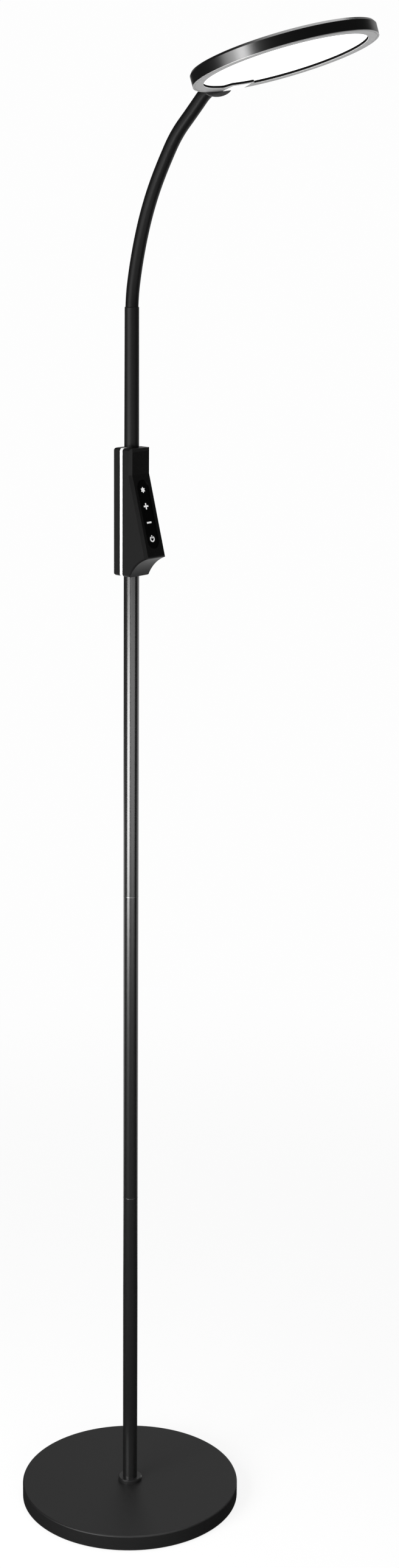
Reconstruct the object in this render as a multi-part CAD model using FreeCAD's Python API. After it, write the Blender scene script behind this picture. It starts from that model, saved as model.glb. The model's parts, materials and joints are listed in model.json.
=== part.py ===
import FreeCAD, Part
import math
import os

from FreeCAD import Placement, Rotation, Vector

# Gooseneck reading floor lamp, in millimetres, +Z up.
#
# A weighted disc base carries a pole of three screwed tubes.  The pole passes up through a wedge-shaped
# touch controller and ends in an adapter.  A rubber sleeve leads from there into the flexible neck, a
# steel core in a rubber sheath, and the neck ends in a socket on the wall of a round, edge-lit LED panel.
#
# Origin: centre of the base's underside, on the axis of the pole.
# +X is the way the keys face and the neck leans, +Y is to the left of someone who looks along +X.
#
# The flexible neck is cut into short links that bend about evenly spaced joint centres.  Every link has
# a cup below and a dome above, both set to spheres about a joint centre, so that it can turn any way there.

# ---------------------------------------------------------------- driving sizes: base
base_diameter = 280.0
base_height = 21.0
base_edge_rounding = 1.6
pad_thickness = 1.5
pad_inset = 5.0
cover_wall = 2.0
weight_thickness = 12.0
weight_side_gap = 0.4
base_screw_circle = 190.0
base_screw_count = 3
base_screw_diameter = 4.0
base_screw_head_diameter = 8.0
base_screw_head_height = 3.0
base_boss_wall = 2.8

# driving sizes: the foot that bolts the pole to the base
foot_bore = 11.0
foot_shoulder_diameter = 22.0
foot_engagement = 30.0
foot_nut_flats = 24.0
foot_nut_height = 5.0
foot_washer_diameter = 29.0
foot_washer_thickness = 1.2
foot_recess_clearance = 1.0
collar_diameter = 30.6
collar_height = 5.0
collar_chamfer = 1.2

# driving sizes: the low-voltage power inlet in the back of the base
inlet_depth = 14.0
inlet_width = 10.0
inlet_height = 10.5
inlet_bore = 5.5
inlet_bore_depth = 10.5
inlet_nose_inset = 0.5
inlet_pin_diameter = 2.1
inlet_hole_diameter = 8.0
inlet_ceiling_gap = 0.5

# driving sizes: pole
pole_diameter = 18.5
pole_wall = 1.2
tube_length = 398.5
tube_top_drop = 19.5
coupling_engagement = 22.0
coupling_flange = 0.5
coupling_flange_inset = 0.35
coupling_bore = 8.0

# driving sizes: the leads inside the lamp
pole_lead_diameter = 3.4
neck_lead_diameter = 3.2
lead_bend_radius = 8.0
lead_window_width = 7.0
lead_exit_share = 0.45

# driving sizes: controller
controller_height = 151.5
controller_width = 35.0
controller_back = 12.0
controller_front = 14.8
controller_slant_drop = 30.5
controller_tip_reach = 41.4
controller_tip_rise = 25.0
controller_heel_reach = 12.7
controller_heel_bulge = 4.0
controller_corner_radius = 2.5
controller_front_corner_radius = 3.5
controller_tip_radius = 2.5
controller_bevel = 3.3
controller_cut_bevel = 1.6
controller_wall = 2.0
strip_back = 2.2
strip_front = 1.9
grip_rib_thickness = 3.0
panel_thickness = 2.4
panel_top_margin = 4.0
panel_foot_margin = 2.8
key_count = 4
key_top_margin = 18.4
key_bottom_margin = 23.0
key_pocket_width = 20.0
key_pocket_overrun = 1.8
key_pocket_depth = 1.5
key_pad_diameter = 9.0
key_window_width = 16.0
board_thickness = 1.2
board_margin = 10.0
board_width = 24.0
controller_screw_diameter = 2.4
controller_screw_head_diameter = 4.6
controller_screw_head_height = 1.8
controller_screw_spread = 25.0
controller_screw_inset = 12.0
controller_boss_diameter = 6.4
controller_boss_reach = 8.0
controller_rib_thickness = 2.0

# driving sizes: adapter, sleeve and flexible neck
adapter_engagement = 20.0
adapter_flange = 2.0
adapter_wall = 1.55
sleeve_height = 162.0
sleeve_bottom_diameter = 17.5
sleeve_top_diameter = 16.8
sleeve_shoulder = 1.6
sleeve_grip = 15.0
sheath_diameter = 15.2
sheath_wall = 1.9
core_wall = 2.6
first_joint_rise = 10.5
link_length = 33.0
joint_ball_radius = 9.0
joint_gap = 0.3

# Directions of the neck's links at rest, from the sleeve upwards, in degrees from the vertical.
link_leans = (9.5, 13.5, 17.5, 23.0, 28.5, 31.5, 45.0, 43.5)

# driving sizes: head
head_diameter = 206.6
head_thickness = 14.75
head_tilt = 17.2
head_twist = 4.35
head_edge_width = 2.0
head_edge_height = 2.7
head_wall = 2.0
neck_axis_rise = 6.0
socket_reach = 13.2
socket_diameter = 17.6
socket_mouth_reach = 7.4
socket_waist_reach = 3.6
socket_floor_reach = 1.2
socket_foot_half_width = 23.0
socket_foot_half_height = 8.9
socket_foot_drop = 2.9
socket_spigot_diameter = 9.6
socket_spigot_length = 6.5
socket_bore = 5.0
socket_block_width = 13.0
bezel_thickness = 0.8
bezel_width = 11.9
bezel_groove_inset = 2.0
bezel_groove_width = 0.5
bezel_groove_depth = 0.4
lug_depth = 7.9
lug_start_angle = 156.3
lug_ramp_angle = 177.0
lug_end_angle = 180.5
lug_plate_start_angle = 159.3
lug_plate_end_angle = 175.0
lug_plate_thickness = 0.4
lug_plate_margin = 0.6
lug_block_start_angle = 161.0
lug_block_end_angle = 175.5
recess_depth = 3.25
recess_ring_width = 2.0
optic_overlap = 3.0
diffuser_thickness = 2.0
guide_thickness = 3.0
reflector_thickness = 0.5
led_count = 40
led_width = 3.0
led_depth = 1.0
led_height = 1.6
led_strip_thickness = 0.6
led_first_angle = 3.0
led_strip_overhang_angle = 2.0
tray_thickness = 1.5
tray_wall = 1.2
tray_flange = 3.0
head_screw_count = 4
head_screw_diameter = 2.0
head_screw_head_diameter = 2.8
head_screw_head_height = 1.2
head_boss_wall = 1.2

# ---------------------------------------------------------------- clearances
slip = 0.05
loose = 0.3
lead_room = 1.0
screw_tip_gap = 0.5
boss_tip_gap = 1.0
smallest_rounding = 0.5
wall_rounding_share = 0.9

# How far a cutting tool, or a shape that is trimmed or fused afterwards, runs past a face.
overrun = 1.0

# ---------------------------------------------------------------- places that follow from the sizes
base_radius = base_diameter / 2
pole_radius = pole_diameter / 2
pole_bore_radius = pole_radius - pole_wall
spigot_radius = pole_bore_radius - slip
cover_ceiling = base_height - cover_wall
weight_top = pad_thickness + weight_thickness
weight_radius = base_radius - cover_wall - weight_side_gap
foot_recess_depth = foot_nut_height + foot_washer_thickness + foot_recess_clearance
foot_recess_radius = foot_washer_diameter / 2 + loose

lower_joint = base_height + tube_length
middle_tube_bottom = lower_joint + coupling_flange
upper_joint = middle_tube_bottom + tube_length
upper_tube_bottom = upper_joint + coupling_flange
controller_bottom = upper_tube_bottom + tube_length
controller_top = controller_bottom + controller_height
pole_top = controller_top - tube_top_drop

sheath_radius = sheath_diameter / 2
sheath_bore_radius = sheath_radius - sheath_wall
core_radius = sheath_bore_radius - slip
core_bore_radius = core_radius - core_wall
adapter_bore_radius = core_radius + slip
adapter_radius = adapter_bore_radius + adapter_wall
adapter_top = controller_top + sleeve_grip
core_bottom = pole_top + adapter_flange
sleeve_top = controller_top + sleeve_height
cup_radius = joint_ball_radius + joint_gap / 2
dome_radius = joint_ball_radius - joint_gap / 2

head_radius = head_diameter / 2
underside = -neck_axis_rise
head_top = underside + head_thickness
bezel_top = underside + bezel_thickness
diffuser_bottom = underside + recess_depth
guide_bottom = diffuser_bottom + diffuser_thickness
reflector_bottom = guide_bottom + guide_thickness
tray_bottom = reflector_bottom + reflector_thickness
housing_ceiling = head_top - head_wall
opening_radius = head_radius - bezel_width
optic_radius = opening_radius + optic_overlap
led_strip_outer_radius = optic_radius + led_strip_thickness
tray_rim_radius = led_strip_outer_radius + tray_wall


# ---------------------------------------------------------------- small helpers
def cylinder(radius, bottom, top, x=0.0, y=0.0):
    """Upright cylinder from height bottom to height top."""
    return Part.makeCylinder(radius, top - bottom, Vector(x, y, bottom))


def pipe(outer, inner, bottom, top):
    """Upright tube about the Z axis."""
    return cylinder(outer, bottom, top).cut(cylinder(inner, bottom, top))


def bar(radius, start, end):
    """Cylinder between two points."""
    return Part.makeCylinder(radius, (end - start).Length, start, end - start)


def box(low, high):
    """Box between two opposite corners."""
    return Part.makeBox(high[0] - low[0], high[1] - low[1], high[2] - low[2], Vector(*low))


def around(count, radius, first_angle=0.0):
    """Points evenly spaced on a circle about the Z axis."""
    for i in range(count):
        angle = math.radians(first_angle + 360.0 * i / count)
        yield radius * math.cos(angle), radius * math.sin(angle)


def polar(radius, angle, height=0.0):
    """Point at a radius and an angle in degrees about the Z axis."""
    return Vector(radius * math.cos(math.radians(angle)), radius * math.sin(math.radians(angle)), height)


def heading(lean):
    """Direction in the lamp's middle plane that leans forward by that angle from the vertical."""
    return Vector(math.sin(math.radians(lean)), 0, math.cos(math.radians(lean)))


def facet_inset(radius):
    """How far a facet at 45 degrees, in place of a rounding of that radius, starts from the corner's arc."""
    return radius * (1 - math.sqrt(0.5))


def wire(*edges):
    """Closed or open wire of lines and arcs given as geometry."""
    return Part.Wire([edge.toShape() for edge in edges])


def lead(diameter, start, corners, end):
    """Round lead along straight runs with an arc of the lead's bend radius at each corner."""
    pieces = []
    at = start
    for corner, following in zip(corners, corners[1:] + [end]):
        before = (at - corner).normalize()
        after = (following - corner).normalize()
        turn = math.pi - before.getAngle(after)
        tangent = lead_bend_radius * math.tan(turn / 2)
        arc_start = corner + before * tangent
        centre = corner + (before + after).normalize() * (lead_bend_radius / math.cos(turn / 2))
        section = Part.Face(Part.Wire(Part.makeCircle(diameter / 2, arc_start, before)))
        pieces.append(bar(diameter / 2, at, arc_start))
        pieces.append(section.revolve(centre, after.cross(before), math.degrees(turn)))
        at = corner + after * tangent
    pieces.append(bar(diameter / 2, at, end))
    return pieces[0].fuse(pieces[1:])


def outline(*corners):
    """Closed outline of straight lines in the XZ plane through corners given as (x, z)."""
    points = [Vector(x, 0, z) for x, z in corners]
    return [Part.LineSegment(a, b) for a, b in zip(points, points[1:] + points[:1])]


def revolved(*edges):
    """Solid of revolution about the Z axis of a profile in the XZ plane."""
    return Part.Face(wire(*edges)).revolve(Vector(0, 0, 0), Vector(0, 0, 1), 360)


# ---------------------------------------------------------------- base
def base_screw_places():
    """Centres of the screws that hold the weight to the cover."""
    return list(around(base_screw_count, base_screw_circle / 2))


def base_cover():
    """Pressed cover: a shallow cap with a rounded top edge, screw bosses inside and the inlet hole."""
    edge = min(base_edge_rounding, cover_wall * wall_rounding_share)
    facet = facet_inset(edge)
    inside = base_radius - cover_wall
    shell = revolved(*outline(
        (inside, pad_thickness), (base_radius, pad_thickness), (base_radius, base_height - edge),
        (base_radius - facet, base_height - facet), (base_radius - edge, base_height), (0, base_height),
        (0, cover_ceiling), (inside, cover_ceiling)))
    thread_radius = base_screw_diameter / 2
    for x, y in base_screw_places():
        shell = shell.fuse(cylinder(thread_radius + base_boss_wall, weight_top, cover_ceiling, x, y))
        shell = shell.cut(cylinder(thread_radius + slip, weight_top, cover_ceiling, x, y))
    shell = shell.cut(cylinder(spigot_radius + slip, cover_ceiling, base_height))
    hole_start = Vector(-base_radius, 0, inlet_centre_height())
    return shell.cut(bar(inlet_hole_diameter / 2, hole_start, hole_start + Vector(2 * cover_wall, 0, 0)))


def inlet_centre_height():
    """Height of the inlet's bore."""
    return cover_ceiling - inlet_ceiling_gap - inlet_height / 2


def inlet_back():
    """X of the face of the inlet that lies against the inside of the cover."""
    half_width = inlet_width / 2
    return -math.sqrt((base_radius - cover_wall) ** 2 - half_width ** 2)


def power_inlet():
    """Moulded inlet block with its bore and centre pin, open to the back of the base."""
    back = inlet_back()
    top = cover_ceiling - inlet_ceiling_gap
    half_width = inlet_width / 2
    block = box((back, -half_width, top - inlet_height), (back + inlet_depth, half_width, top))
    mouth = Vector(inlet_nose_inset - base_radius, 0, inlet_centre_height())
    nose_root = Vector(back + overrun, 0, inlet_centre_height())
    block = block.fuse(bar(inlet_hole_diameter / 2 - slip, mouth, nose_root))
    block = block.cut(bar(inlet_bore / 2, mouth, mouth + Vector(inlet_bore_depth, 0, 0)))
    pin_start = mouth + Vector(slip, 0, 0)
    pin_root = mouth + Vector(inlet_bore_depth + overrun, 0, 0)
    return block.fuse(bar(inlet_pin_diameter / 2, pin_start, pin_root))


def base_weight():
    """Cast iron disc with the foot's hole and recess, counterbored screw holes and the inlet's pocket."""
    disc = cylinder(weight_radius, pad_thickness, weight_top)
    disc = disc.cut(cylinder(spigot_radius + slip, pad_thickness, weight_top))
    disc = disc.cut(cylinder(foot_recess_radius, pad_thickness, pad_thickness + foot_recess_depth))
    head_seat = pad_thickness + base_screw_head_height + loose
    for x, y in base_screw_places():
        disc = disc.cut(cylinder(base_screw_diameter / 2 + loose, pad_thickness, weight_top, x, y))
        disc = disc.cut(cylinder(base_screw_head_diameter / 2 + loose, pad_thickness, head_seat, x, y))
    half_width = inlet_width / 2 + loose
    pocket_floor = cover_ceiling - inlet_ceiling_gap - inlet_height
    pocket_end = inlet_back() + inlet_depth + loose
    pocket_top = weight_top + overrun
    return disc.cut(box((-base_radius, -half_width, pocket_floor), (pocket_end, half_width, pocket_top)))


def base_pad():
    """Foam pad under the weight.  The lamp stands on it."""
    return cylinder(base_radius - pad_inset, 0.0, pad_thickness)


def base_screws():
    """Screws from below through the weight into the cover's bosses."""
    head_top_height = pad_thickness + base_screw_head_height + loose
    tip = cover_ceiling - screw_tip_gap
    screws = []
    for x, y in base_screw_places():
        head_bottom = head_top_height - base_screw_head_height
        head = cylinder(base_screw_head_diameter / 2, head_bottom, head_top_height, x, y)
        screws.append(head.fuse(cylinder(base_screw_diameter / 2, head_top_height, tip, x, y)))
    return Part.makeCompound(screws)


def pole_foot():
    """Hollow foot: threaded below, a shoulder between weight and cover, a spigot in the lower tube."""
    bottom = pad_thickness + foot_recess_clearance / 2
    foot = cylinder(spigot_radius, bottom, base_height + foot_engagement)
    foot = foot.fuse(cylinder(foot_shoulder_diameter / 2, weight_top, cover_ceiling))
    foot = foot.cut(cylinder(foot_bore / 2, bottom, base_height + foot_engagement))
    slot = pole_lead_diameter / 2 + lead_room
    return foot.cut(box((-foot_shoulder_diameter, -slot, weight_top), (0, slot, cover_ceiling)))


def foot_nut():
    """Hexagon nut in the weight's recess."""
    top = pad_thickness + foot_recess_depth - foot_washer_thickness
    corner = foot_nut_flats / math.sqrt(3)
    corners = [Vector(x, y, top - foot_nut_height) for x, y in around(6, corner)]
    hexagon = Part.Face(Part.makePolygon(corners + corners[:1]))
    nut = hexagon.extrude(Vector(0, 0, foot_nut_height))
    return nut.cut(cylinder(spigot_radius + slip, top - foot_nut_height, top))


def foot_washer():
    """Washer between the nut and the weight."""
    top = pad_thickness + foot_recess_depth
    return pipe(foot_washer_diameter / 2, spigot_radius + slip, top - foot_washer_thickness, top)


def pole_collar():
    """Turned collar round the foot of the pole, bevelled along its top edge."""
    top = base_height + collar_height
    outer = collar_diameter / 2
    inner = pole_radius + slip
    return revolved(*outline(
        (inner, base_height), (outer, base_height), (outer, top - collar_chamfer),
        (outer - collar_chamfer, top), (inner, top)))


# ---------------------------------------------------------------- pole
def pole_tube(bottom, top):
    """One tube of the pole."""
    return pipe(pole_radius, pole_bore_radius, bottom, top)


def pole_upper_tube():
    """The upper tube runs on inside the controller, where a window lets the leads out to the board."""
    tube = pole_tube(upper_tube_bottom, pole_top)
    half = lead_window_width / 2
    low = lead_exit_height() - lead_bend_radius - lead_window_width
    high = neck_lead_height() + lead_bend_radius + lead_window_width
    return tube.cut(box((0, -half, low), (pole_diameter, half, high)))


def coupling(joint):
    """Threaded coupling inside two tubes, with the thin flange that shows as a hairline between them."""
    flange_top = joint + coupling_flange
    body = cylinder(spigot_radius, joint - coupling_engagement, flange_top + coupling_engagement)
    body = body.fuse(cylinder(pole_radius - coupling_flange_inset, joint, flange_top))
    bottom = joint - coupling_engagement
    return body.cut(cylinder(coupling_bore / 2, bottom, flange_top + coupling_engagement))


# ---------------------------------------------------------------- controller
def slant_angle():
    """Angle of the controller's slanted face from the vertical, in degrees."""
    drop = controller_height - controller_slant_drop - controller_tip_rise
    return math.degrees(math.atan2(controller_tip_reach - controller_front, drop))


def face_x(height):
    """X of the slanted face at a height."""
    bend = controller_top - controller_slant_drop
    return controller_front + (bend - height) * math.tan(math.radians(slant_angle()))


def slant_length():
    """Length of the slanted face from the bend down to the tip."""
    drop = controller_height - controller_slant_drop - controller_tip_rise
    return drop / math.cos(math.radians(slant_angle()))


def key_distances():
    """Distances of the keys from the bend, evenly spread between the two margins."""
    pitch = (slant_length() - key_top_margin - key_bottom_margin) / (key_count - 1)
    return [key_top_margin + i * pitch for i in range(key_count)]


def slant_placement(distance, depth):
    """Placement on the slanted face: local Z out of the face, local X down the face, origin at that
    distance down from the bend and that depth below the surface."""
    angle = math.radians(slant_angle())
    down = Vector(math.sin(angle), 0, -math.cos(angle))
    out = Vector(math.cos(angle), 0, math.sin(angle))
    bend = Vector(controller_front, 0, controller_top - controller_slant_drop)
    rotation = Rotation(down, Vector(0, 0, 0), out, "ZXY")
    return Placement(bend + down * distance - out * depth, rotation)


def side_profile(inset):
    """Side outline of the controller in the XZ plane, moved inwards by inset."""
    top = controller_top
    bottom = controller_bottom
    back = -controller_back
    radius = controller_corner_radius
    diagonal = facet_inset(radius)
    bend = Vector(controller_front, 0, top - controller_slant_drop)
    tip = Vector(controller_tip_reach, 0, bottom + controller_tip_rise)
    heel = Vector(controller_heel_reach, 0, bottom)
    chord = heel - tip
    upwards = Vector(chord.z, 0, -chord.x).normalize()
    middle = tip + chord / 2 + upwards * controller_heel_bulge
    outline = Part.Face(wire(
        Part.LineSegment(Vector(back + radius, 0, top), Vector(controller_front, 0, top)),
        Part.LineSegment(Vector(controller_front, 0, top), bend),
        Part.LineSegment(bend, tip),
        Part.Arc(tip, middle, heel),
        Part.LineSegment(heel, Vector(back + radius, 0, bottom)),
        Part.Arc(Vector(back + radius, 0, bottom), Vector(back + diagonal, 0, bottom + diagonal),
                 Vector(back, 0, bottom + radius)),
        Part.LineSegment(Vector(back, 0, bottom + radius), Vector(back, 0, top - radius)),
        Part.Arc(Vector(back, 0, top - radius), Vector(back + diagonal, 0, top - diagonal),
                 Vector(back + radius, 0, top)),
    ))
    if inset == 0.0:
        return outline
    return outline.makeOffset2D(-inset, 2)


def front_outline(inset):
    """Outline of the controller seen from the front, in the YZ plane, as a long prism along X."""
    half = controller_width / 2 - inset
    low = controller_bottom + inset
    high = controller_top - inset
    start = -controller_back - overrun
    length = controller_tip_reach - start + overrun
    prism = Part.makeBox(length, 2 * half, high - low, Vector(start, -half, low))
    radius = max(controller_front_corner_radius - inset, smallest_rounding)
    long_edges = [e for e in prism.Edges if e.BoundBox.XLength > length / 2]
    return prism.makeFillet(radius, long_edges)


def side_prism(inset):
    """The side outline moved inwards by inset, extruded to the controller's full width."""
    prism = side_profile(inset).extrude(Vector(0, controller_width, 0))
    prism.translate(Vector(0, -controller_width / 2, 0))
    return prism


def controller_block(inset):
    """Solid of the whole controller, moved inwards by inset."""
    return side_prism(inset).common(front_outline(inset))


def side_edges(solid, curve, from_x):
    """Tall edges of one kind of curve on the two sides of a prism, in front of from_x."""
    chosen = []
    for edge in solid.Edges:
        bounds = edge.BoundBox
        tall = bounds.ZLength > controller_tip_rise / 2
        if edge.Curve.TypeId == curve and bounds.YLength < slip and tall and bounds.XMin > from_x:
            chosen.append(edge)
    return chosen


def tip_rounded_prism():
    """The controller's prism with its tip rounded."""
    prism = side_prism(0.0)
    tip_x = controller_tip_reach - slip
    tip_edges = [e for e in prism.Edges if e.BoundBox.XMin > tip_x and e.BoundBox.ZLength < slip]
    return prism.makeFillet(controller_tip_radius, tip_edges)


def bevelled_block():
    """Outer solid of the controller, bevelled down both sides of its front and along the curved cut."""
    block = side_prism(0.0)
    block = block.makeChamfer(controller_bevel, side_edges(block, "Part::GeomLine", controller_front - slip))
    cut_edges = side_edges(block, "Part::GeomCircle", controller_heel_reach - slip)
    block = block.makeChamfer(controller_cut_bevel, cut_edges)
    return block.common(tip_rounded_prism()).common(front_outline(0.0))


def panel_plate():
    """The touch panel before its pocket is sunk: a bent plate that fills the front between the bevels."""
    half = controller_width / 2 - controller_bevel
    angle = math.radians(slant_angle())
    bend = Vector(controller_front, 0, controller_top - controller_slant_drop)
    down = Vector(math.sin(angle), 0, -math.cos(angle))
    top = Vector(controller_front, 0, controller_top - panel_top_margin)
    foot = bend + down * (slant_length() - panel_foot_margin)
    inner_bend = bend + Vector(-panel_thickness, 0, -panel_thickness * math.tan(angle / 2))
    inwards = Vector(-math.cos(angle), 0, -math.sin(angle)) * panel_thickness
    outline = [top, bend, foot, foot + inwards, inner_bend, top - Vector(panel_thickness, 0, 0), top]
    plate = Part.Face(Part.makePolygon(outline)).extrude(Vector(0, 2 * half, 0))
    plate.translate(Vector(0, -half, 0))
    return plate


def touch_panel():
    """Glossy bent panel with the shallow pocket of the keys."""
    return panel_plate().cut(key_pocket(key_pocket_width, key_pocket_depth))


def key_pocket(width, depth):
    """Stadium-shaped block round the keys, reaching that deep into the slanted face."""
    radius = width / 2
    first = key_distances()[0] - key_pocket_overrun
    last = key_distances()[-1] + key_pocket_overrun
    height = depth + overrun
    body = box((first, -radius, 0), (last, radius, height))
    body = body.fuse(Part.makeCylinder(radius, height, Vector(first, 0, 0)))
    body = body.fuse(Part.makeCylinder(radius, height, Vector(last, 0, 0)))
    body = body.removeSplitter()
    body.Placement = slant_placement(0.0, depth)
    return body


def controller_screw_places():
    """Y and Z of the four screws that join the shells."""
    half = controller_screw_spread / 2
    for z in (controller_bottom + controller_screw_inset, controller_top - controller_screw_inset):
        for y in (-half, half):
            yield y, z


def screw_seat():
    """X of the face on which the controller screws' heads rest."""
    return -controller_back + controller_wall + controller_screw_head_height


def controller_boss(y, z, start, end):
    """Screw boss along X with a rib that ties it to the side wall."""
    radius = controller_boss_diameter / 2
    boss = bar(radius, Vector(start, y, z), Vector(end, y, z))
    wall = math.copysign(controller_width / 2 - controller_wall / 2, y)
    half = controller_rib_thickness / 2
    rib = box((start, min(y, wall), z - half), (end, max(y, wall), z + half))
    return boss.fuse(rib)


def grip_ribs(start, end):
    """Two flat ribs across the inside of the housing, bored to sit on the pole."""
    half = controller_width / 2 - controller_wall / 2
    spread = controller_height / 2 - controller_screw_inset - controller_boss_diameter
    middle = (controller_bottom + controller_top) / 2
    ribs = []
    for z in (middle - spread, middle + spread - (controller_top - pole_top)):
        rib = box((start, -half, z), (end, half, z + grip_rib_thickness))
        ribs.append(rib)
    return ribs


def housing(start, end, wall, rib_start, rib_end):
    """The hollow controller housing between two X planes, with its ribs and pole holes."""
    shell = bevelled_block().cut(controller_block(wall))
    for rib in grip_ribs(rib_start, rib_end):
        shell = shell.fuse(rib)
    low = (start, -controller_width, controller_bottom - overrun)
    slab = box(low, (end, controller_width, controller_top + overrun))
    return shell.common(slab).cut(pole_passage())


def pole_passage():
    """Space of the pole and the adapter inside the controller."""
    passage = cylinder(pole_radius + slip, controller_bottom - 1, core_bottom)
    return passage.fuse(cylinder(adapter_radius + loose, core_bottom, controller_top + 1))


def controller_front_shell():
    """Wedge-shaped front shell with the seat of the touch panel and the window behind its keys."""
    wall = controller_wall + panel_thickness
    shell = housing(strip_front, controller_tip_reach + overrun, wall, strip_front, controller_front - wall)
    shell = shell.cut(panel_plate())
    shell = shell.cut(key_pocket(key_window_width, wall + overrun))
    end = strip_front + controller_boss_reach
    for y, z in controller_screw_places():
        shell = shell.fuse(controller_boss(y, z, strip_front, end))
        pilot = bar(controller_screw_diameter / 2 + slip, Vector(strip_front, y, z), Vector(end, y, z))
        shell = shell.cut(pilot)
    return shell


def controller_back_shell():
    """Back shell with the sunk seats of the screws."""
    inside = -controller_back + controller_wall / 2
    shell = housing(-controller_back - 1, -strip_back, controller_wall, inside, -strip_back)
    for y, z in controller_screw_places():
        shell = shell.fuse(controller_boss(y, z, inside, -strip_back))
        back = Vector(-controller_back, y, z)
        seat = Vector(screw_seat(), y, z)
        shell = shell.cut(bar(controller_screw_head_diameter / 2 + slip, back, seat))
        shell = shell.cut(bar(controller_screw_diameter / 2 + slip, seat, Vector(-strip_back, y, z)))
    return shell


def accent_strip():
    """Pale strip between the shells, in a left and a right half because the pole passes between them."""
    ring = controller_block(0.0).cut(controller_block(controller_wall))
    slab = box((-strip_back, -controller_width, controller_bottom - 1),
               (strip_front, controller_width, controller_top + 1))
    return ring.common(slab).cut(pole_passage())


def controller_screws():
    """Screws from the back that pull the shells together."""
    screws = []
    for y, z in controller_screw_places():
        seat = Vector(screw_seat(), y, z)
        back = seat - Vector(controller_screw_head_height, 0, 0)
        tip = Vector(strip_front + controller_boss_reach - boss_tip_gap, y, z)
        head = bar(controller_screw_head_diameter / 2, back, seat)
        screws.append(head.fuse(bar(controller_screw_diameter / 2, seat, tip)))
    return Part.makeCompound(screws)


def touch_pads():
    """Conductive foam pads that bridge the board and the back of the touch panel, one per key."""
    pads = []
    for distance in key_distances():
        pad = Part.makeCylinder(key_pad_diameter / 2, controller_wall)
        pad.Placement = slant_placement(distance, board_depth())
        pads.append(pad)
    return Part.makeCompound(pads)


def board_depth():
    """Depth of the board's outer face below the slanted face: it lies on the inside of the shell."""
    return panel_thickness + controller_wall


def touch_board():
    """Circuit board against the inside of the shell, behind the window of the keys."""
    half = board_width / 2
    first = key_distances()[0] - board_margin
    last = key_distances()[-1] + board_margin
    board = box((first, -half, 0), (last, half, board_thickness))
    board.Placement = slant_placement(0.0, board_depth() + board_thickness)
    return board


def board_back_x(height):
    """X of the back of the board at a height."""
    depth = board_depth() + board_thickness
    return face_x(height) - depth / math.cos(math.radians(slant_angle()))


# ---------------------------------------------------------------- leads
def lead_exit_height():
    """Height at which the pole's lead turns out to the board."""
    return controller_bottom + controller_height * lead_exit_share


def neck_lead_height():
    """Height at which the neck's lead leaves the board."""
    return lead_exit_height() + 2 * lead_bend_radius + pole_lead_diameter


def pole_lead():
    """Lead from the inlet, across the base, up the pole and out to the board."""
    floor = cover_ceiling - pole_lead_diameter / 2 - lead_room
    start = Vector(inlet_back() + inlet_depth, 0, floor)
    exit_height = lead_exit_height()
    end = Vector(board_back_x(exit_height + pole_lead_diameter / 2), 0, exit_height)
    return lead(pole_lead_diameter, start, [Vector(0, 0, floor), Vector(0, 0, exit_height)], end)


def neck_lead():
    """Lead from the board up into the foot of the flexible neck."""
    height = neck_lead_height()
    start = Vector(board_back_x(height + neck_lead_diameter / 2), 0, height)
    return lead(neck_lead_diameter, start, [Vector(0, 0, height)], Vector(0, 0, sleeve_top))


# ---------------------------------------------------------------- adapter and sleeve
def neck_adapter():
    """Adapter in the top of the pole that holds the flexible neck's core."""
    body = cylinder(spigot_radius, pole_top - adapter_engagement, pole_top)
    body = body.fuse(cylinder(pole_radius, pole_top, core_bottom))
    body = body.fuse(cylinder(adapter_radius, core_bottom, adapter_top))
    body = body.cut(cylinder(core_bore_radius, pole_top - adapter_engagement, core_bottom))
    return body.cut(cylinder(adapter_bore_radius, core_bottom, adapter_top))


def neck_sleeve():
    """Rubber sleeve from the controller up over the foot of the neck, tapered, with a rounded shoulder."""
    top_radius = sleeve_top_diameter / 2
    grip_top = sleeve_top - sleeve_grip
    bore = core_radius + slip
    shoulder = min(sleeve_shoulder, top_radius - sheath_radius - 2 * slip)
    facet = facet_inset(shoulder)
    return revolved(*outline(
        (sleeve_bottom_diameter / 2, controller_top), (top_radius, sleeve_top - shoulder),
        (top_radius - facet, sleeve_top - facet), (top_radius - shoulder, sleeve_top),
        (sheath_radius + slip, sleeve_top), (sheath_radius + slip, grip_top), (bore, grip_top),
        (bore, adapter_top), (adapter_radius + slip, adapter_top), (adapter_radius + slip, controller_top)))


# ---------------------------------------------------------------- flexible neck
def joint_centres():
    """Joint centres of the neck, from the sleeve up to the head's socket."""
    centres = [Vector(0, 0, sleeve_top + first_joint_rise)]
    for lean in link_leans:
        centres.append(centres[-1] + heading(lean) * link_length)
    return centres


def neck_piece(outer, inner, bottom, top, has_cup, has_dome):
    """Round tube piece along Z.  The rims of its cup lie on a sphere round the joint centre at its bottom,
    and those of its dome on one round the joint centre at its top.  Without them, the ends are plain."""
    def rim(radius, centre, across):
        return across, centre + math.sqrt(radius ** 2 - across ** 2)

    low = [rim(cup_radius, bottom, r) if has_cup else (r, bottom) for r in (inner, outer)]
    high = [rim(dome_radius, top, r) if has_dome else (r, top) for r in (outer, inner)]
    return revolved(*outline(*low, *high))


def neck_links():
    """The links of the neck between its joints: the piece of sheath and the piece of core of each."""
    centres = joint_centres()
    for lean, start in zip(link_leans, centres):
        sheath = neck_piece(sheath_radius, sheath_bore_radius, 0.0, link_length, True, True)
        core = neck_piece(core_radius, core_bore_radius, 0.0, link_length, True, True)
        for piece in (sheath, core):
            piece.Placement = Placement(start, Rotation(Vector(0, 1, 0), lean))
        yield sheath, core


def neck_base():
    """The fixed foot of the neck inside the sleeve: its sheath and its core."""
    first = joint_centres()[0].z
    sheath = neck_piece(sheath_radius, sheath_bore_radius, sleeve_top - sleeve_grip, first, False, True)
    core = neck_piece(core_radius, core_bore_radius, core_bottom, first, False, True)
    return sheath, core


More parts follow.
